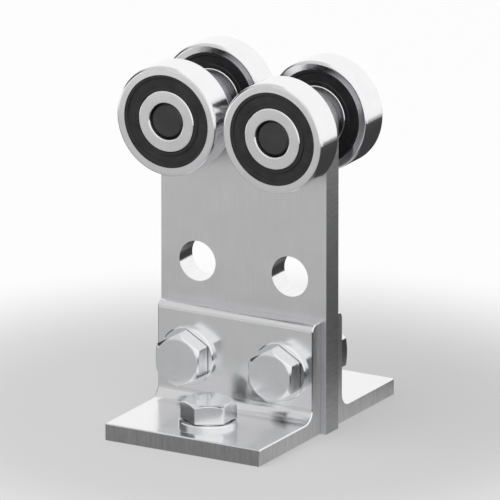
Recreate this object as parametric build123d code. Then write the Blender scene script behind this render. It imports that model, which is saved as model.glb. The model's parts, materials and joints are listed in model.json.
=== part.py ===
from build123d import *

import os
from math import cos, pi, radians, sin, tan

# A trolley with four wheels that rolls inside a steel strut channel and carries a load below it.
# X runs along the channel, Y across it and Z up. All sizes are in millimetres.
# The origin is midway between the two feet, level with their undersides.

# Hanger plate: a flat bar whose top ends in a round ear about each axle pin
plate_thickness = 6.8
axle_height = 83.5
ear_radius = 9.0
plate_edge_break = 0.3

# Axle pins and the spacers that hold the wheels off the plate
axle_diameter = 10.0
pin_recess = 0.4
pin_chamfer = 0.8
spacer_length = 4.1
spacer_wall = 1.75
spacer_chamfer = 0.3

# Wheels: deep-groove ball bearings with rubber seals, which roll on their outer rings
wheel_diameter = 30.0
wheel_width = 9.0
wheel_gap = 2.0
tread_corner_radius = 0.8
ring_corner_radius = 0.4

# Balls and the grooves they run in
ball_count = 8
ball_diameter = 4.762
ball_play = 0.06
groove_conformity = 0.52
shoulder_gap = 3.3

# Pressed ribbon cage
cage_thickness = 0.4
cage_side_gap = 0.6
pocket_play = 0.12
rivet_radius = 0.45
rivet_head = 0.35

# Rubber seals, each seated in a pocket of the outer ring and running close to the inner ring
rim_width = 2.35
seal_pocket_depth = 1.2
seal_recess = 0.15
seal_dish = 0.3
seal_bead = 0.8
seal_slope = 0.25
lip_gap = 0.1

# Angle brackets, back to back with the plate between their legs
bracket_inset = 1.5
bracket_thickness = 4.6
leg_height = 31.0
foot_length = 32.6
root_radius = 3.5
leg_toe_radius = 2.0
foot_toe_radius = 0.5
cut_edge_break = 0.3

# Hexagon bolts, nuts and washers
bolt_diameter = 8.0
bolt_flats = 13.0
head_height = 5.3
nut_height = 6.8
chamfer_angle = 30.0
nut_countersink = 0.4
shank_diameter = 7.2
thread_protrusion = 4.8
thread_chamfer = 1.0
thread_run_in = 1.6
washer_diameter = 16.0
washer_bore = 8.4
washer_thickness = 1.2
washer_chamfer = 0.3
foot_bolt_length = 20.0

# Holes and where the bolts stand
bolt_hole_diameter = 9.0
hole_edge_distance = 11.0
clamp_washer_margin = 1.1
foot_washer_margin = 2.5
spare_hole_diameter = 11.0
spare_hole_rise = 11.0

# Clearances
press_gap = 0.02
thread_gap = 0.02

# Places that follow from the sizes above
wheel_radius = wheel_diameter / 2
axle_spacing = wheel_diameter + wheel_gap
plate_width = axle_spacing + 2 * ear_radius
notch_radius = axle_spacing / 2 - ear_radius
wheel_offset = plate_thickness / 2 + spacer_length + wheel_width / 2
pin_length = 2 * wheel_offset + wheel_width - 2 * pin_recess

ball_radius = ball_diameter / 2
pitch_radius = (wheel_diameter + axle_diameter) / 4
groove_radius = ball_diameter * groove_conformity
inner_land_radius = pitch_radius - shoulder_gap / 2
outer_land_radius = pitch_radius + shoulder_gap / 2
seal_radius = wheel_radius - rim_width

bracket_length = plate_width - 2 * bracket_inset
leg_face = plate_thickness / 2 + bracket_thickness
washer_radius = washer_diameter / 2
hole_x = plate_width / 2 - hole_edge_distance
clamp_height = bracket_thickness + root_radius + washer_radius + clamp_washer_margin
foot_bolt_y = leg_face + root_radius + washer_radius + foot_washer_margin
spare_hole_height = leg_height + spare_hole_rise
clamp_grip = 2 * (leg_face + washer_thickness)
clamp_bolt_length = clamp_grip + nut_height + thread_protrusion
foot_grip = washer_thickness + bracket_thickness


def turned(outline):
    """A solid turned about the Y axis from a face whose X is the radius."""
    return revolve(outline, Axis.Y)


def drill(diameter, x, z):
    """A drill along Y, long enough for every piece that is bolted together."""
    return Pos(x, 0, z) * Rot(90, 0, 0) * Cylinder(diameter / 2, 2 * clamp_bolt_length)


def hanger_plate():
    """The flat bar: two round ears at the top, with a round notch of the same centre height between."""
    edge = plate_width / 2
    axle = axle_spacing / 2
    outline = Polyline((-edge, axle_height), (-edge, 0), (edge, 0), (edge, axle_height))
    for centre, radius, bulge in ((axle, ear_radius, 1), (0, notch_radius, -1), (-axle, ear_radius, 1)):
        start = (centre + radius, axle_height)
        crest = (centre, axle_height + bulge * radius)
        end = (centre - radius, axle_height)
        outline += ThreePointArc(start, crest, end)
    plate = extrude(Plane.XZ * make_face(outline), plate_thickness / 2, both=True)
    for face in (plate.faces().sort_by(Axis.Y)[0], plate.faces().sort_by(Axis.Y)[-1]):
        plate = chamfer(face.outer_wire().edges(), plate_edge_break)
    for x in (-hole_x, hole_x):
        plate -= drill(bolt_hole_diameter, x, clamp_height)
        plate -= drill(spare_hole_diameter, x, spare_hole_height)
    for x in (-axle, axle):
        plate -= drill(axle_diameter, x, axle_height)
    return plate


def angle_bracket():
    """The rear bracket, cut from rolled angle: rounded toes, a fillet in the root and sawn ends."""
    back = plate_thickness / 2
    toe = back + foot_length
    heel_to_toe = [(back, 0), (toe, 0), (toe, bracket_thickness), (leg_face, bracket_thickness)]
    profile = make_face(Polyline(*heel_to_toe, (leg_face, leg_height), (back, leg_height), close=True))
    corners = profile.vertices()
    root = corners.sort_by_distance((leg_face, bracket_thickness))[0]
    profile = fillet(root, root_radius)
    for tip, radius in (((toe, bracket_thickness), foot_toe_radius), ((leg_face, leg_height), leg_toe_radius)):
        profile = fillet(profile.vertices().sort_by_distance(tip)[0], radius)
    bracket = extrude(Plane.YZ * profile, bracket_length / 2, both=True)
    for end in (0, -1):
        sawn = bracket.faces().sort_by(Axis.X)[end]
        bracket = chamfer(sawn.edges(), cut_edge_break)
    for x in (-hole_x, hole_x):
        bracket -= drill(bolt_hole_diameter, x, clamp_height)
    return bracket - Pos(0, foot_bolt_y, 0) * Cylinder(bolt_hole_diameter / 2, 4 * bracket_thickness)


def axle_pin():
    """A plain pin pressed through an ear of the plate, with a wheel at each end."""
    radius = axle_diameter / 2 - press_gap
    half = pin_length / 2
    end = [(radius, half - pin_chamfer), (radius - pin_chamfer, half), (0, half)]
    other_end = [(r, -y) for r, y in reversed(end)]
    return turned(make_face(Polyline(*end, *other_end, close=True)))


def spacer():
    """A tube between the plate and an inner ring."""
    inner = axle_diameter / 2
    outer = inner + spacer_wall
    half = spacer_length / 2
    outline = make_face(Polyline((inner, -half), (outer, -half), (outer, half), (inner, half), close=True))
    rim = outline.vertices().filter_by(lambda corner: corner.X > (inner + outer) / 2)
    return turned(chamfer(rim, spacer_chamfer))


def raceway(groove_centre):
    """The round groove that the balls run in, as the ring to cut away."""
    return Rot(90, 0, 0) * Torus(groove_centre, groove_radius)


def outer_ring():
    """The wheel's tread, with a groove for the balls and a pocket at each side for a seal."""
    half = wheel_width / 2
    floor = half - seal_pocket_depth
    side = [(wheel_radius, half), (seal_radius, half), (seal_radius, floor), (outer_land_radius, floor)]
    other_side = [(r, -y) for r, y in reversed(side)]
    outline = make_face(Polyline(*side, *other_side, close=True))
    tread = outline.vertices().filter_by(lambda corner: corner.X > wheel_radius - rim_width / 2)
    outline = fillet(tread, tread_corner_radius)
    groove_centre = pitch_radius + ball_radius + ball_play - groove_radius
    return turned(outline) - raceway(groove_centre)


def inner_ring():
    """The ring that stays still on the pin."""
    bore = axle_diameter / 2
    half = wheel_width / 2
    section = [(bore, -half), (inner_land_radius, -half), (inner_land_radius, half), (bore, half)]
    outline = make_face(Polyline(*section, close=True))
    outline = fillet(outline.vertices(), ring_corner_radius)
    groove_centre = pitch_radius - ball_radius - ball_play + groove_radius
    return turned(outline) - raceway(groove_centre)


def around(count):
    """The places of the balls round the axle, evenly spaced on the pitch circle."""
    step = 2 * pi / count
    return [(pitch_radius * sin(i * step), pitch_radius * cos(i * step)) for i in range(count)]


def balls():
    """The set of balls of one wheel."""
    return Compound(children=[Pos(x, 0, z) * Sphere(ball_radius) for x, z in around(ball_count)])


def ball_cage():
    """Two pressed ribbons riveted together: a round pocket about each ball and a flat web between."""
    pocket_radius = ball_radius + pocket_play
    half_band = shoulder_gap / 2 - cage_side_gap
    band = Rot(90, 0, 0) * Cylinder(pitch_radius + half_band, wheel_width)
    band -= Rot(90, 0, 0) * Cylinder(pitch_radius - half_band, wheel_width)
    web = Rot(90, 0, 0) * Cylinder(pitch_radius + half_band, 2 * cage_thickness)
    pockets = [Pos(x, 0, z) * Sphere(pocket_radius + cage_thickness) for x, z in around(ball_count)]
    cage = (web + pockets) & band
    cage -= [Pos(x, 0, z) * Sphere(pocket_radius) for x, z in around(ball_count)]
    half_step = 180 / ball_count
    rivet = Rot(90, 0, 0) * Cylinder(rivet_radius, 2 * (cage_thickness + rivet_head))
    for i in range(ball_count):
        cage += Rot(0, (2 * i + 1) * half_step, 0) * Pos(0, 0, pitch_radius) * rivet
    return cage


def seal(side):
    """A moulded rubber seal for the +Y or -Y side: a raised bead at the rim and at the lip."""
    half = wheel_width / 2
    floor = half - seal_pocket_depth
    face = half - seal_recess
    dish = face - seal_dish
    outer = seal_radius - press_gap
    lip = inner_land_radius + lip_gap
    outline = [
        (lip, floor),
        (outer, floor),
        (outer, face),
        (outer - seal_bead, face),
        (outer - seal_bead - seal_slope, dish),
        (lip + seal_bead + seal_slope, dish),
        (lip + seal_bead, face),
        (lip, face),
    ]
    return turned(make_face(Polyline(*[(r, side * y) for r, y in outline], close=True)))


def hexagon(height, chamfered_ends):
    """A hexagonal blank on Z = 0, with corners at +Y and -Y, turned down at its top or both ends."""
    corner = bolt_flats / 2 / cos(radians(30))
    flat = 0.95 * bolt_flats / 2
    drop = (corner - flat) * tan(radians(chamfer_angle))
    blank = extrude(RegularPolygon(corner, 6, rotation=30), height)
    foot = [(flat, 0), (corner, drop)] if chamfered_ends == 2 else [(corner, 0)]
    outline = [(0, 0), *foot, (corner, height - drop), (flat, height), (0, height)]
    return blank & revolve(Plane.XZ * make_face(Polyline(*outline, close=True)), Axis.Z)


def hexagon_bolt(shank_length, length):
    """A bolt whose head stands on Z = 0, with a rolled thread, so that its shank is the thinner part."""
    down = (Align.CENTER, Align.CENTER, Align.MAX)
    shank = Cylinder(shank_diameter / 2, shank_length, align=down)
    thread = Pos(0, 0, -shank_length) * Cylinder(bolt_diameter / 2, length - shank_length, align=down)
    thread = chamfer(thread.edges().sort_by(Axis.Z)[0], thread_chamfer)
    return hexagon(head_height, 1) + shank + thread


def hexagon_nut():
    """A nut that stands on Z = 0, with its bore countersunk at both ends."""
    bore = bolt_diameter / 2 + thread_gap
    mouth = [(0, 0), (bore + nut_countersink, 0), (bore, nut_countersink)]
    other_mouth = [(r, nut_height - z) for r, z in reversed(mouth)]
    room = revolve(Plane.XZ * make_face(Polyline(*mouth, *other_mouth, close=True)), Axis.Z)
    return hexagon(nut_height, 2) - room


def washer():
    """A flat washer that lies on Z = 0, with its upper rim broken."""
    blank = Cylinder(washer_radius, washer_thickness, align=(Align.CENTER, Align.CENTER, Align.MIN))
    blank = chamfer(blank.edges().sort_by(Axis.Z)[-1], washer_chamfer)
    return blank - Cylinder(washer_bore / 2, 4 * washer_thickness)


def save(name, solid):
    """Writes one sub-part."""
    solid.label = name
    export_step(solid, os.path.join("parts", name + ".step"))


def save_wheels():
    """Four bearings, each with its rings, balls, cage and two seals."""
    for side_name, side in (("front", -1), ("rear", 1)):
        for end_name, end in (("left", -1), ("right", 1)):
            place = Pos(end * axle_spacing / 2, side * wheel_offset, axle_height)
            pieces = {
                "outer_ring": outer_ring(),
                "inner_ring": inner_ring(),
                "ball_cage": ball_cage(),
                "balls": balls(),
                "outer_seal": seal(side),
                "inner_seal": seal(-side),
            }
            for piece_name, piece in pieces.items():
                save(f"{side_name}_{end_name}_{piece_name}", place * piece)
            spacer_y = side * (plate_thickness + spacer_length) / 2
            spacer_place = Pos(end * axle_spacing / 2, spacer_y, axle_height)
            save(f"{side_name}_{end_name}_spacer", spacer_place * spacer())


def save_clamp_fasteners():
    """Two bolts through both legs and the plate, with their heads in front and nuts behind."""
    forward = Rot(90, 0, 0)
    backward = Rot(-90, 0, 0)
    seat = leg_face + washer_thickness
    for end_name, end in (("left", -1), ("right", 1)):
        x = end * hole_x
        bolt = hexagon_bolt(clamp_grip - thread_run_in, clamp_bolt_length)
        save(f"{end_name}_clamp_bolt", Pos(x, -seat, clamp_height) * forward * bolt)
        save(f"{end_name}_clamp_bolt_washer", Pos(x, -leg_face, clamp_height) * forward * washer())
        save(f"{end_name}_clamp_nut", Pos(x, seat, clamp_height) * backward * hexagon_nut())
        save(f"{end_name}_clamp_nut_washer", Pos(x, leg_face, clamp_height) * backward * washer())


def save_foot_bolts():
    """A bolt through each foot, whose thread stands out below to hold what hangs on the trolley."""
    for side_name, side in (("front", -1), ("rear", 1)):
        place = Pos(0, side * foot_bolt_y, bracket_thickness)
        save(f"{side_name}_foot_washer", place * washer())
        bolt = hexagon_bolt(foot_grip, foot_bolt_length)
        save(f"{side_name}_foot_bolt", place * Pos(0, 0, washer_thickness) * bolt)


os.makedirs("parts", exist_ok=True)
save("hanger_plate", hanger_plate())
save("rear_angle_bracket", angle_bracket())
save("front_angle_bracket", Rot(0, 0, 180) * angle_bracket())
save("left_axle_pin", Pos(-axle_spacing / 2, 0, axle_height) * axle_pin())
save("right_axle_pin", Pos(axle_spacing / 2, 0, axle_height) * axle_pin())
save_wheels()
save_clamp_fasteners()
save_foot_bolts()
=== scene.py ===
import json
import math

import bmesh
import bpy
from mathutils import Matrix, Vector


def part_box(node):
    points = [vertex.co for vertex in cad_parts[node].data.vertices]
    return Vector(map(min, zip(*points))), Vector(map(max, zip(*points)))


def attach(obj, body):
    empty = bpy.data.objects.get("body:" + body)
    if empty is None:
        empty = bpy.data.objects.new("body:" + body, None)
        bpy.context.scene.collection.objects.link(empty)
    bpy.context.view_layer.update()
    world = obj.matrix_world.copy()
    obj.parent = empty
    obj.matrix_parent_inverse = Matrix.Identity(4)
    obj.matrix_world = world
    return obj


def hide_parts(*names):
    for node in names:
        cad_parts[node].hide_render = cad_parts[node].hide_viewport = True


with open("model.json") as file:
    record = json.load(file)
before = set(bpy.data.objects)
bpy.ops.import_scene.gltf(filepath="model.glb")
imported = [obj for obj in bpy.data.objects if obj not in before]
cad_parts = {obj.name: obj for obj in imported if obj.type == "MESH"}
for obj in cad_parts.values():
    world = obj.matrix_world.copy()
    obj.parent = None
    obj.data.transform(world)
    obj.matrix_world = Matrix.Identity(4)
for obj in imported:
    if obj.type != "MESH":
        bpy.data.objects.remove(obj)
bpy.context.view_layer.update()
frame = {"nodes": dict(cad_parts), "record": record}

MM = 0.001

# The photograph's view: nearly parallel, from 29.7 degrees to the right of the front and 17.3 degrees up.
# FILL is the share of the picture that the object takes.
AZIMUTH = 29.7
ELEVATION = 17.3
LENS = 1400.0
SENSOR = 36.0
FILL = 0.86

# The camera sees a white studio. Reflections see it grey at the front and dark at a flag, and turning to
# white or to the ceiling's grey over a range of the direction's X, Y or Z. Other light gets WORLD_LEVEL
# times that.
WORLD_LEVEL = 0.45
FRONT_GREY = 0.5
FLAG_GREY = 0.05
BACKDROP_Y = (0.1, 0.6)
RIGHT_WALL_X = (-0.1, 0.35)
SOFTBOX_X, SOFTBOX_Z = (-0.4, -0.05), (0.15, 0.45)
CEILING_Z, CEILING_WHITE = (0.1, 0.3), 0.42
FLAG_X, FLAG_Z = (-0.75, -0.9), (0.5, 0.35)

# The floor's glow paints it white away from the object and leaves it pale grey near it, a painted shade
# round the object. FLOOR_SHARE is how much of what the camera sees is the floor's own glow, and FLOOR_LEVEL
# how bright that is, near the object and far from it.
FLOOR_SIZE = 6.0
FLOOR_TURN = (0.06, 0.14)
FLOOR_SHARE = (0.55, 0.95)
FLOOR_LEVEL = (0.6, 1.0)

# In reflections the floor is a glowing table that ends in the white of the background. Its glow paints
# light under the object and on one side of it, as far round as PAINTED_LIT_COSINE says, and paints shade on
# the others.
TABLE_END = (0.32, 0.4)
TABLE_PAINTED_LIGHT, TABLE_PAINTED_LIGHT_SHARE = 0.42, 0.8
TABLE_PAINTED_SHADE = 0.05
PAINTED_LIT_SIDE = (-0.5, -0.866, 0.0)
PAINTED_LIT_COSINE = (0.75, 0.25)
UNDER_OBJECT = (0.03, 0.08)

# The middle of the object, which the lamps face
LAMP_AIM = Vector((0, 0, 0.05))

# Places taken from the frame
axle_lo, axle_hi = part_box("right_axle_pin")
AXLE_X = (axle_lo.x + axle_hi.x) / 2
AXLE_Z = (axle_lo.z + axle_hi.z) / 2
TOE_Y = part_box("rear_angle_bracket")[1].y

# Cut faces and painted shade: how far the plate's holes reach along X, where its round ears start, how
# thick the tip of a foot is taken, and how far these limits blend. As the cosine of a face's angle to an
# axis goes from the first value to the second, the face turns into a cut one, or at a foot's tip into one
# with painted shade.
HOLE_REACH = 20.5 * MM
EAR_START = 72.0 * MM
TOE_DEPTH = 0.3 * MM
LIMIT_BLEND = 0.15 * MM
PLATE_EDGE_COSINE = (0.6, 0.3)
END_COSINE = (0.8, 0.95)

# Threads and hexagons, M8 with the coarse thread, rolled on a thinner shank. The tip's chamfer ends a
# little under the thread's core, and the last ring of its flat end lies further in.
PITCH = 1.25 * MM
THREAD_DEPTH = 0.68 * MM
THREAD_RADIUS = 4.0 * MM
CREST, ROOT = 1 / 8, 1 / 4
RUN_OUT = 1.0 * MM
TIP_CHAMFER = 0.9 * MM
TIP_UNDER_CORE = 0.3 * MM
END_UNDER_CORE = 1.0 * MM
SHANK_RADIUS = 3.6 * MM
FLATS = 13.0 * MM
CHAMFER_START = 0.95 * FLATS / 2
CHAMFER_SLOPE = math.tan(math.radians(30))
CORNER_CUT = 0.1 * MM
HEAD_HEIGHT = 5.3 * MM
WASHER_FACE = 0.2 * MM
CLAMP_RUN_IN = 1.6 * MM
RING_STEPS = 96
ROWS_A_PITCH = 12
SHARP_ANGLE = 35

# Fineness of the noises, in cycles a metre along X, Y and Z
ROLLED = (2600.0, 2600.0, 90.0)
DRAWN = (90.0, 2600.0, 2600.0)
ANY_WAY = (500.0, 500.0, 500.0)
ACROSS_Y = (2200.0, 160.0, 2200.0)
UPRIGHT = (2200.0, 2200.0, 160.0)
CLAMP_MARKS = (340.0, 340.0, 60.0)
TREAD_MARKS = (260.0, 900.0, 260.0)

# Fineness of the noises that are alike along every axis
MARK_PATCHES = 70.0
WAVES = 95.0
SMUDGES = 130.0
TURNED_SMUDGES = 220.0
RUBBER_SMUDGES = 240.0
SPECKS = 1500.0
RUBBER_SKIN = 3000.0

# A noise wanders mostly in this range. The shares say what a steel's shade is made of.
NOISE_LOW, NOISE_MIDDLE, NOISE_HIGH = 0.3, 0.5, 0.7
GRAIN_SHARE, SMUDGE_SHARE, SPECK_SHARE = 0.35, 0.5, 0.15
RING_SHARE, TURNED_SMUDGE_SHARE = 0.55, 0.45

# Scratches show where a noise is this near to its middle, in patches where another noise rises through
# this range. The strokes of a cut face are this deep.
MARK_WIDTH = 0.008
PATCH_START = (0.5, 0.62)
STROKE_DEPTH = 0.012 * MM


def node_tree(name):
    """A new material with its Principled shader, ready for more nodes."""
    material = bpy.data.materials.new(name)
    material.use_nodes = True
    tree = material.node_tree
    shader = next(n for n in tree.nodes if n.type == "BSDF_PRINCIPLED")
    return material, tree, shader


def add(tree, kind, settings=None, **inputs):
    """A node with its settings, and its input values or the sockets that feed them. i0 is input 0."""
    node = tree.nodes.new(kind)
    for key, value in (settings or {}).items():
        setattr(node, key, value)
    for key, value in inputs.items():
        socket = node.inputs[int(key[1:])] if key[0] == "i" and key[1:].isdigit() else node.inputs[key]
        if isinstance(value, bpy.types.NodeSocket):
            tree.links.new(value, socket)
        else:
            socket.default_value = value
    return node


def maths(tree, operation, first, second=0.0):
    """One sum, with sockets or numbers on either side."""
    return add(tree, "ShaderNodeMath", {"operation": operation}, i0=first, i1=second).outputs[0]


def plus(tree, first, second):
    return maths(tree, "ADD", first, second)


def times(tree, first, second):
    return maths(tree, "MULTIPLY", first, second)


def larger(tree, first, second):
    return maths(tree, "MAXIMUM", first, second)


def along_axes(tree, vector):
    """The X, Y and Z of a vector."""
    return add(tree, "ShaderNodeSeparateXYZ", Vector=vector).outputs


def place_in_frame(tree):
    """The point's place in the row frame, in metres."""
    return add(tree, "ShaderNodeTexCoord").outputs["Object"]


def stretched_noise(tree, scale, detail):
    """Noise with a different fineness along each axis, in cycles a metre."""
    mapping = add(tree, "ShaderNodeMapping", Vector=place_in_frame(tree), Scale=scale)
    noise = add(tree, "ShaderNodeTexNoise", Vector=mapping.outputs[0], Scale=1.0, Detail=detail)
    return noise.outputs["Fac"]


def even_noise(tree, fineness, detail):
    """Noise as fine along every axis."""
    return stretched_noise(tree, (fineness, fineness, fineness), detail)


def line_noise(tree, value, width, detail):
    """Noise that changes along one measure only, about once a width."""
    settings = {"noise_dimensions": "1D"}
    return add(tree, "ShaderNodeTexNoise", settings, W=value, Scale=1 / width, Detail=detail).outputs[0]


def ramp(tree, value, low, high):
    """Maps a noise's usual range to low and high, and keeps it between them."""
    limits = {"i1": NOISE_LOW, "i2": NOISE_HIGH, "i3": low, "i4": high}
    return add(tree, "ShaderNodeMapRange", i0=value, **limits).outputs[0]


def step_up(tree, value, start, end):
    """Goes smoothly from 0 at start to 1 at end."""
    settings = {"interpolation_type": "SMOOTHSTEP"}
    return add(tree, "ShaderNodeMapRange", settings, i0=value, i1=start, i2=end).outputs[0]


def mixed(tree, factor, first, second):
    """The first number where the factor is 0 and the second where it is 1."""
    return add(tree, "ShaderNodeMix", {"data_type": "FLOAT"}, i0=factor, i2=first, i3=second).outputs[0]


def mixed_colour(tree, factor, first, second):
    """The first colour where the factor is 0 and the second where it is 1."""
    return add(tree, "ShaderNodeMix", {"data_type": "RGBA"}, i0=factor, i6=first, i7=second).outputs[2]


def tint(tree, noise, dark, light):
    """A colour that wanders between two."""
    return mixed_colour(tree, ramp(tree, noise, 0, 1), (*dark, 1), (*light, 1))


def grey(level):
    """A neutral grey with the faint blue of clean steel."""
    return level, level, level + 0.008


def bump(tree, shader, relief):
    """Fine relief, in metres."""
    node = add(tree, "ShaderNodeBump", Height=relief, Distance=1.0, Strength=1.0)
    tree.links.new(node.outputs[0], shader.inputs["Normal"])


def facing(tree, axis):
    """How squarely the surface faces that axis, either way, from 0 to 1."""
    normal = add(tree, "ShaderNodeTexCoord").outputs["Normal"]
    return maths(tree, "ABSOLUTE", along_axes(tree, normal)[axis])


def away(tree, axis, distance):
    """1 beyond that distance from the frame's middle along an axis, either way, and 0 nearer."""
    from_middle = maths(tree, "ABSOLUTE", along_axes(tree, place_in_frame(tree))[axis])
    return step_up(tree, from_middle, distance - LIMIT_BLEND, distance + LIMIT_BLEND)


def plate_edges(tree):
    """All of the plate but its two flat sides: its outer edges and the walls of its holes."""
    return step_up(tree, facing(tree, 1), *PLATE_EDGE_COSINE)


def past_holes(tree):
    """1 at the plate's outer edges and ears, and 0 at its holes."""
    return larger(tree, away(tree, 0, HOLE_REACH), away(tree, 2, EAR_START))


def sheared_edges_with_painted_shade(tree):
    """The plate's outer edges, but not the walls of its holes: their darker grey is a cut finish and partly
    painted shade.
    """
    return times(tree, plate_edges(tree), past_holes(tree))


def bored_walls(tree):
    """The walls of the plate's holes."""
    return times(tree, plate_edges(tree), maths(tree, "SUBTRACT", 1.0, past_holes(tree)))


def sawn_ends_with_painted_shade(tree):
    """The sawn ends of the angle brackets, whose darker grey is a cut finish and partly painted shade."""
    return step_up(tree, facing(tree, 0), *END_COSINE)


def painted_shade_tips(tree):
    """The tips of the angle brackets' feet, whose darker grey paints shade."""
    return times(tree, step_up(tree, facing(tree, 1), *END_COSINE), away(tree, 1, TOE_Y - TOE_DEPTH))


def scratches(tree, scale, amount):
    """Thin marks in patches, where a stretched noise crosses its middle. They add that much roughness."""
    value = stretched_noise(tree, scale, detail=1.0)
    off = maths(tree, "ABSOLUTE", maths(tree, "SUBTRACT", value, NOISE_MIDDLE))
    line = add(tree, "ShaderNodeMapRange", i0=off, i1=0.0, i2=MARK_WIDTH, i3=amount, i4=0.0).outputs[0]
    return times(tree, line, step_up(tree, even_noise(tree, MARK_PATCHES, detail=2.0), *PATCH_START))


def steel(name, dark, light, rough, grain, grain_depth, waviness=0.0, wear=0.0, cuts_and_painted_shade=()):
    """Rolled and plated steel: a grain, smudges, slight waves and scratches.

    Each cut is a sawn, sheared or bored face, or the tip of a foot: where it is, the fineness of its
    strokes, their dark and light grey, and how rough it is. The grey of a tip paints shade, and that of
    sawn and sheared faces is partly painted shade.
    """
    material, tree, shader = node_tree(name)
    lines = stretched_noise(tree, grain, detail=3.0)
    smudges = even_noise(tree, SMUDGES, detail=4.0)
    specks = even_noise(tree, SPECKS, detail=2.0)
    shade = plus(tree, times(tree, lines, GRAIN_SHARE), times(tree, smudges, SMUDGE_SHARE))
    shade = plus(tree, shade, times(tree, specks, SPECK_SHARE))
    colour = tint(tree, shade, dark, light)
    gloss = ramp(tree, smudges, *rough)
    relief = times(tree, lines, grain_depth)
    if waviness:
        relief = plus(tree, relief, times(tree, even_noise(tree, WAVES, detail=1.0), waviness))
    if wear:
        gloss = plus(tree, gloss, scratches(tree, CLAMP_MARKS, wear))
    for where, stroke, cut_and_shade_dark, cut_and_shade_light, cut_rough in cuts_and_painted_shade:
        there = where(tree)
        strokes = stretched_noise(tree, stroke, detail=3.0)
        cut_and_shade_colour = tint(tree, strokes, grey(cut_and_shade_dark), grey(cut_and_shade_light))
        colour = mixed_colour(tree, there, colour, cut_and_shade_colour)
        gloss = mixed(tree, there, gloss, cut_rough)
        relief = plus(tree, relief, times(tree, times(tree, strokes, there), STROKE_DEPTH))
    tree.links.new(colour, shader.inputs["Base Color"])
    tree.links.new(gloss, shader.inputs["Roughness"])
    shader.inputs["Metallic"].default_value = 1.0
    bump(tree, shader, relief)
    return material


def radius_from_axle(tree):
    """Distance from the nearer axle's centre line, and the place along it, in metres."""
    place = along_axes(tree, place_in_frame(tree))
    x = maths(tree, "SUBTRACT", maths(tree, "ABSOLUTE", place[0]), AXLE_X)
    z = maths(tree, "SUBTRACT", place[2], AXLE_Z)
    return maths(tree, "SQRT", plus(tree, times(tree, x, x), times(tree, z, z))), place[1]


def turned_steel(name, dark, light, rough, line_width, line_depth, wear=0.0):
    """Ground or turned steel: fine rings about the axle, on faces and on the tread alike."""
    material, tree, shader = node_tree(name)
    radius, across = radius_from_axle(tree)
    rings = line_noise(tree, plus(tree, radius, across), line_width, detail=3.0)
    smudges = even_noise(tree, TURNED_SMUDGES, detail=3.0)
    shade = plus(tree, times(tree, rings, RING_SHARE), times(tree, smudges, TURNED_SMUDGE_SHARE))
    tree.links.new(tint(tree, shade, dark, light), shader.inputs["Base Color"])
    shader.inputs["Metallic"].default_value = 1.0
    gloss = ramp(tree, shade, *rough)
    if wear:
        gloss = plus(tree, gloss, scratches(tree, TREAD_MARKS, wear))
    tree.links.new(gloss, shader.inputs["Roughness"])
    bump(tree, shader, times(tree, rings, line_depth))
    return material


def rubber(name, dark, light, rough, specular, skin_depth, ring_width, ring_depth):
    """Black moulded rubber: a fine matt skin, faint moulding rings and slightly uneven black."""
    material, tree, shader = node_tree(name)
    radius, _ = radius_from_axle(tree)
    skin = even_noise(tree, RUBBER_SKIN, detail=2.0)
    smudges = even_noise(tree, RUBBER_SMUDGES, detail=3.0)
    rings = line_noise(tree, radius, ring_width, detail=1.0)
    tree.links.new(tint(tree, smudges, dark, light), shader.inputs["Base Color"])
    tree.links.new(ramp(tree, skin, *rough), shader.inputs["Roughness"])
    shader.inputs["Specular IOR Level"].default_value = specular
    bump(tree, shader, plus(tree, times(tree, skin, skin_depth), times(tree, rings, ring_depth)))
    return material


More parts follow.
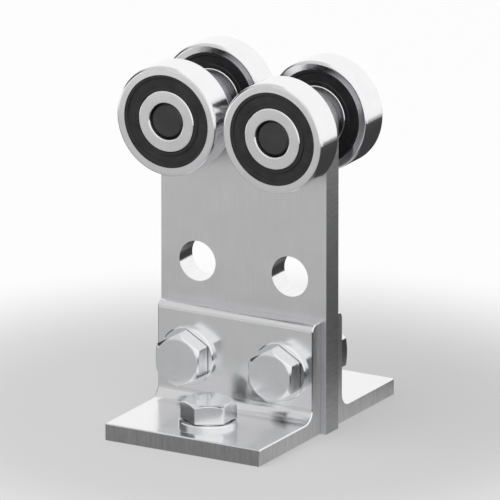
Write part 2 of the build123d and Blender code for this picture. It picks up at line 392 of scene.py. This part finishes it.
MATERIALS = {
    "plate_steel": steel(
        "plate_steel", (0.74, 0.74, 0.75), (0.83, 0.83, 0.84), rough=(0.4, 0.5),
        grain=ROLLED, grain_depth=0.004 * MM, waviness=0.005 * MM, wear=0.125,
        # The sheared edges' darker grey is partly a cut finish and partly painted shade on the plate's
        # sides
        cuts_and_painted_shade=((sheared_edges_with_painted_shade, ACROSS_Y, 0.44, 0.56, 0.4), (bored_walls, ACROSS_Y, 0.86, 0.92, 0.14))),
    "bracket_steel": steel(
        "bracket_steel", (0.84, 0.84, 0.85), (0.91, 0.91, 0.92), rough=(0.16, 0.26),
        grain=DRAWN, grain_depth=0.003 * MM, waviness=0.02 * MM, wear=0.03,
        # The feet's tips get a dark grey that paints shade, and the sawn ends' darker grey is partly a cut
        # finish and partly painted shade
        cuts_and_painted_shade=((sawn_ends_with_painted_shade, UPRIGHT, 0.66, 0.8, 0.36), (painted_shade_tips, UPRIGHT, 0.32, 0.44, 0.45))),
    "bearing_steel": turned_steel(
        "bearing_steel", (0.87, 0.87, 0.88), (0.94, 0.94, 0.95), rough=(0.12, 0.2),
        line_width=0.12 * MM, line_depth=0.002 * MM, wear=0.1),
    "ball_steel": turned_steel(
        "ball_steel", (0.8, 0.8, 0.81), (0.84, 0.84, 0.85), rough=(0.04, 0.08),
        line_width=0.3 * MM, line_depth=0.0002 * MM),
    "cage_steel": steel(
        "cage_steel", (0.55, 0.54, 0.51), (0.66, 0.65, 0.62), rough=(0.25, 0.4),
        grain=ANY_WAY, grain_depth=0.004 * MM),
    "seal_rubber": rubber(
        "seal_rubber", (0.012, 0.012, 0.013), (0.025, 0.025, 0.027), rough=(0.42, 0.58), specular=0.4,
        skin_depth=0.01 * MM, ring_width=0.5 * MM, ring_depth=0.03 * MM),
    "pin_steel": turned_steel(
        "pin_steel", (0.06, 0.06, 0.062), (0.1, 0.1, 0.103), rough=(0.3, 0.45),
        line_width=0.15 * MM, line_depth=0.004 * MM, wear=0.1),
    # The spacer's dark grey is a burnished finish and partly painted shade between the wheels and the plate
    "spacer_steel": turned_steel(
        "spacer_steel", (0.16, 0.16, 0.165), (0.24, 0.24, 0.245), rough=(0.25, 0.35),
        line_width=0.2 * MM, line_depth=0.004 * MM),
    "fastener_steel": steel(
        "fastener_steel", (0.84, 0.85, 0.86), (0.91, 0.92, 0.93), rough=(0.13, 0.22),
        grain=ANY_WAY, grain_depth=0.002 * MM, waviness=0.006 * MM),
}


def dress(obj, slot_name):
    """Gives an object one material."""
    obj.data.materials.clear()
    obj.data.materials.append(MATERIALS[slot_name])


for entry in frame["record"]["subparts"]:
    dress(frame["nodes"][entry["node"]], entry["material_slot"])


def ring_of_points(work, radius, height):
    """One closed ring of vertices about Z. Its radius and height are numbers, or functions of the angle."""
    ring = []
    for i in range(RING_STEPS):
        angle = 2 * math.pi * i / RING_STEPS
        r = radius(angle) if callable(radius) else radius
        z = height(angle) if callable(height) else height
        ring.append(work.verts.new((r * math.cos(angle), r * math.sin(angle), z)))
    return ring


def bridge(work, low, high):
    """Quads between two rings of as many points."""
    for i in range(len(low)):
        j = (i + 1) % len(low)
        work.faces.new((low[i], low[j], high[j], high[i]))


def hexagon_radius(angle):
    """Distance from a hexagon's centre to its side. Its corners are slightly cut, and two lie on Y."""
    sector = math.radians(60)
    turn = (angle + sector / 2) % sector - sector / 2
    corner = FLATS / 2 / math.cos(sector / 2)
    return min(FLATS / 2 / math.cos(turn), corner - CORNER_CUT)


def chamfer_height(angle):
    """Height of the head's chamfer at the side of the hexagon."""
    return HEAD_HEIGHT - max(0.0, hexagon_radius(angle) - CHAMFER_START) * CHAMFER_SLOPE


def thread_radius(phase):
    """Radius of the thread along one pitch: narrow crest, straight flanks, wider root."""
    flank = (1 - CREST - ROOT) / 2
    p = phase % 1
    if p < CREST:
        depth = 0.0
    elif p < CREST + flank:
        depth = (p - CREST) / flank
    elif p < CREST + flank + ROOT:
        depth = 1.0
    else:
        depth = (1 - p) / flank
    return THREAD_RADIUS - THREAD_DEPTH * depth


def thread_rings(work, top, bottom):
    """Rings of a thread from its run-out at top down to the chamfered tip at bottom."""
    core = THREAD_RADIUS - THREAD_DEPTH
    rows = round((top - bottom) / PITCH * ROWS_A_PITCH)
    rings = []
    for row in range(rows + 1):
        z = top + (bottom - top) * row / rows
        cap = core - TIP_UNDER_CORE + (z - bottom) / TIP_CHAMFER * (THREAD_DEPTH + TIP_UNDER_CORE)
        start = SHANK_RADIUS + (top - z) / RUN_OUT * (THREAD_RADIUS - SHANK_RADIUS)
        grown = min(1.0, (top - z) / RUN_OUT)

        def radius_at(angle, z=z, cap=cap, start=start, grown=grown):
            cut = thread_radius(z / PITCH - angle / (2 * math.pi))
            return min(SHANK_RADIUS + (cut - SHANK_RADIUS) * grown, cap, start)

        rings.append(ring_of_points(work, radius_at, z))
    rings.append(ring_of_points(work, core - END_UNDER_CORE, bottom))
    return rings


def threaded_bolt(name, shank_length, length):
    """A hexagon bolt that stands on Z = 0: chamfered head, washer face, plain shank and rolled thread."""
    work = bmesh.new()
    profile = (
        (CHAMFER_START - 0.6 * MM, HEAD_HEIGHT),
        (CHAMFER_START - 0.15 * MM, HEAD_HEIGHT - 0.01 * MM),
        (CHAMFER_START, HEAD_HEIGHT - 0.05 * MM),
        (lambda a: hexagon_radius(a) - 0.08 * MM, lambda a: chamfer_height(a) - 0.02 * MM),
        (hexagon_radius, lambda a: chamfer_height(a) - 0.1 * MM),
        (hexagon_radius, WASHER_FACE + 0.1 * MM),
        (lambda a: hexagon_radius(a) - 0.1 * MM, WASHER_FACE),
        (CHAMFER_START - 0.25 * MM, WASHER_FACE),
        (CHAMFER_START - 0.3 * MM, 0.0),
        (SHANK_RADIUS + 0.4 * MM, 0.0),
        (SHANK_RADIUS + 0.1 * MM, -0.1 * MM),
        (SHANK_RADIUS, -0.4 * MM),
        (SHANK_RADIUS, -shank_length + 0.2 * MM),
    )
    rings = [ring_of_points(work, radius, height) for radius, height in profile]
    rings += thread_rings(work, -shank_length, -length)
    for high, low in zip(rings, rings[1:]):
        bridge(work, low, high)
    work.faces.new(rings[0])
    work.faces.new(list(reversed(rings[-1])))
    mesh = bpy.data.meshes.new(name)
    work.normal_update()
    work.to_mesh(mesh)
    work.free()
    return mesh


def stand_in(mesh, place, node):
    """Puts a detailed mesh, smooth but for its sharp edges, where a node is and hides the node."""
    mesh.transform(place)
    obj = bpy.data.objects.new(mesh.name, mesh)
    bpy.context.scene.collection.objects.link(obj)
    dress(obj, "fastener_steel")
    mesh.shade_smooth()
    mesh.set_sharp_from_angle(angle=math.radians(SHARP_ANGLE))
    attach(obj, "frame")
    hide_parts(node)


def place_bolts():
    """Threaded bolts in place of the plain ones, each as long as its node."""
    for side in ("front", "rear"):
        node = f"{side}_foot_bolt"
        lo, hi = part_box(node)
        seat = hi.z - HEAD_HEIGHT
        place = Matrix.Translation(((lo.x + hi.x) / 2, (lo.y + hi.y) / 2, seat))
        stand_in(threaded_bolt(f"{node}_threaded", seat, seat - lo.z), place, node)
    head_to_front = Matrix.Rotation(math.pi / 2, 4, "X")
    for end in ("left", "right"):
        node = f"{end}_clamp_bolt"
        lo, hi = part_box(node)
        seat = lo.y + HEAD_HEIGHT
        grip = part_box(f"{end}_clamp_nut")[0].y - seat
        place = Matrix.Translation(((lo.x + hi.x) / 2, seat, (lo.z + hi.z) / 2)) @ head_to_front
        stand_in(threaded_bolt(f"{node}_threaded", grip - CLAMP_RUN_IN, hi.y - seat), place, node)


place_bolts()


def floor():
    """A pale floor, level with the undersides of the feet, whose glow paints shade near the object and, in
    reflections, a lit side and a dark side.
    """
    s = FLOOR_SIZE
    mesh = bpy.data.meshes.new("floor")
    mesh.from_pydata([(-s, -s, 0), (s, -s, 0), (s, s, 0), (-s, s, 0)], [], [(0, 1, 2, 3)])
    obj = bpy.data.objects.new("floor", mesh)
    bpy.context.scene.collection.objects.link(obj)
    material, tree, shader = node_tree("floor")
    shader.inputs["Base Color"].default_value = (0.8, 0.8, 0.8, 1)
    shader.inputs["Roughness"].default_value = 0.9
    shader.inputs["Specular IOR Level"].default_value = 0.1

    spot = place_in_frame(tree)
    distance = add(tree, "ShaderNodeVectorMath", {"operation": "LENGTH"}, i0=spot).outputs["Value"]
    unit = add(tree, "ShaderNodeVectorMath", {"operation": "NORMALIZE"}, i0=spot).outputs[0]
    cosine = add(tree, "ShaderNodeVectorMath", {"operation": "DOT_PRODUCT"}, i0=unit, i1=PAINTED_LIT_SIDE)
    far = step_up(tree, distance, *FLOOR_TURN)
    beyond = step_up(tree, distance, *TABLE_END)
    painted_shade_sides = step_up(tree, cosine.outputs["Value"], *PAINTED_LIT_COSINE)
    painted_dim = times(tree, painted_shade_sides, step_up(tree, distance, *UNDER_OBJECT))
    # Painted light and shade in reflections: the table's glow is bright on one side and under the object,
    # dark elsewhere
    painted_table_glow = mixed(tree, beyond, mixed(tree, painted_dim, TABLE_PAINTED_LIGHT, TABLE_PAINTED_SHADE), 1.0)
    painted_table_share = mixed(tree, beyond, mixed(tree, painted_dim, TABLE_PAINTED_LIGHT_SHARE, 1.0), 1.0)

    rays = add(tree, "ShaderNodeLightPath")
    glossy = rays.outputs["Is Glossy Ray"]
    seen = larger(tree, rays.outputs["Is Camera Ray"], rays.outputs["Is Transmission Ray"])
    # Painted shade: the floor's glow is dimmer near the object and whiter far from it
    seen_share = times(tree, seen, mixed(tree, far, *FLOOR_SHARE))
    seen_level = times(tree, seen, mixed(tree, far, *FLOOR_LEVEL))
    share = plus(tree, seen_share, times(tree, glossy, painted_table_share))
    level = plus(tree, seen_level, times(tree, glossy, painted_table_glow))
    glow = add(tree, "ShaderNodeEmission", Color=(1, 1, 1, 1), Strength=level)
    mix = add(tree, "ShaderNodeMixShader", Fac=share, i1=shader.outputs[0], i2=glow.outputs[0])
    out = next(n for n in tree.nodes if n.type == "OUTPUT_MATERIAL")
    tree.links.new(mix.outputs[0], out.inputs["Surface"])
    mesh.materials.append(material)


def area_light(name, direction, distance, size, power):
    """A square lamp that faces LAMP_AIM. Reflections leave it out, so no metal clips to white."""
    lamp = bpy.data.lights.new(name, "AREA")
    lamp.size = size
    lamp.energy = power
    obj = bpy.data.objects.new(name, lamp)
    towards = Vector(direction).normalized()
    obj.location = LAMP_AIM + towards * distance
    obj.rotation_mode = "QUATERNION"
    obj.rotation_quaternion = towards.to_track_quat("Z", "Y")
    obj.visible_glossy = False
    bpy.context.scene.collection.objects.link(obj)


def studio_world():
    """A white backdrop for the camera, and for reflections a studio with a grey front and a dark flag."""
    world = bpy.data.worlds.new("studio")
    bpy.context.scene.world = world
    world.use_nodes = True
    tree = world.node_tree
    x, y, z = along_axes(tree, add(tree, "ShaderNodeTexCoord").outputs["Generated"])
    white = larger(tree, step_up(tree, y, *BACKDROP_Y), step_up(tree, x, *RIGHT_WALL_X))
    white = larger(tree, white, times(tree, step_up(tree, x, *SOFTBOX_X), step_up(tree, z, *SOFTBOX_Z)))
    white = larger(tree, white, times(tree, step_up(tree, z, *CEILING_Z), CEILING_WHITE))
    flag = times(tree, step_up(tree, x, *FLAG_X), step_up(tree, z, *FLAG_Z))
    studio = mixed(tree, flag, mixed(tree, white, FRONT_GREY, 1.0), FLAG_GREY)

    rays = add(tree, "ShaderNodeLightPath")
    seen = larger(tree, rays.outputs["Is Camera Ray"], rays.outputs["Is Transmission Ray"])
    level = mixed(tree, rays.outputs["Is Glossy Ray"], times(tree, studio, WORLD_LEVEL), studio)
    background = tree.nodes["Background"]
    background.inputs["Color"].default_value = (1, 1, 1, 1)
    tree.links.new(mixed(tree, seen, level, 1.0), background.inputs["Strength"])


def photo_camera():
    """A long lens along the photograph's direction, centred on what shows above the floor."""
    a, e = math.radians(AZIMUTH), math.radians(ELEVATION)
    back = Vector((math.sin(a) * math.cos(e), -math.cos(a) * math.cos(e), math.sin(e)))
    turn = (-back).to_track_quat("-Z", "Y")
    right, up = turn @ Vector((1, 0, 0)), turn @ Vector((0, 1, 0))
    points = [v.co for o in frame["nodes"].values() for v in o.data.vertices if v.co.z >= 0]
    across = [p.dot(right) for p in points]
    height = [p.dot(up) for p in points]
    half = max(max(across) - min(across), max(height) - min(height)) / 2
    depth = sum(p.dot(back) for p in points) / len(points)
    centre = right * (max(across) + min(across)) / 2 + up * (max(height) + min(height)) / 2 + back * depth
    distance = half / FILL * 2 * LENS / SENSOR
    camera = bpy.data.cameras.new("camera")
    camera.lens = LENS
    camera.sensor_width = SENSOR
    camera.clip_start = distance / 10
    camera.clip_end = distance * 20
    obj = bpy.data.objects.new("camera", camera)
    obj.location = centre + back * distance
    obj.rotation_mode = "QUATERNION"
    obj.rotation_quaternion = turn
    bpy.context.scene.collection.objects.link(obj)
    bpy.context.scene.camera = obj


floor()
area_light("key", direction=(-0.5, -0.55, 1.0), distance=0.9, size=1.2, power=7.0)
area_light("fill", direction=(0.9, -0.8, 0.7), distance=1.2, size=0.8, power=1.0)
studio_world()
photo_camera()
bpy.context.scene.view_settings.view_transform = "Standard"
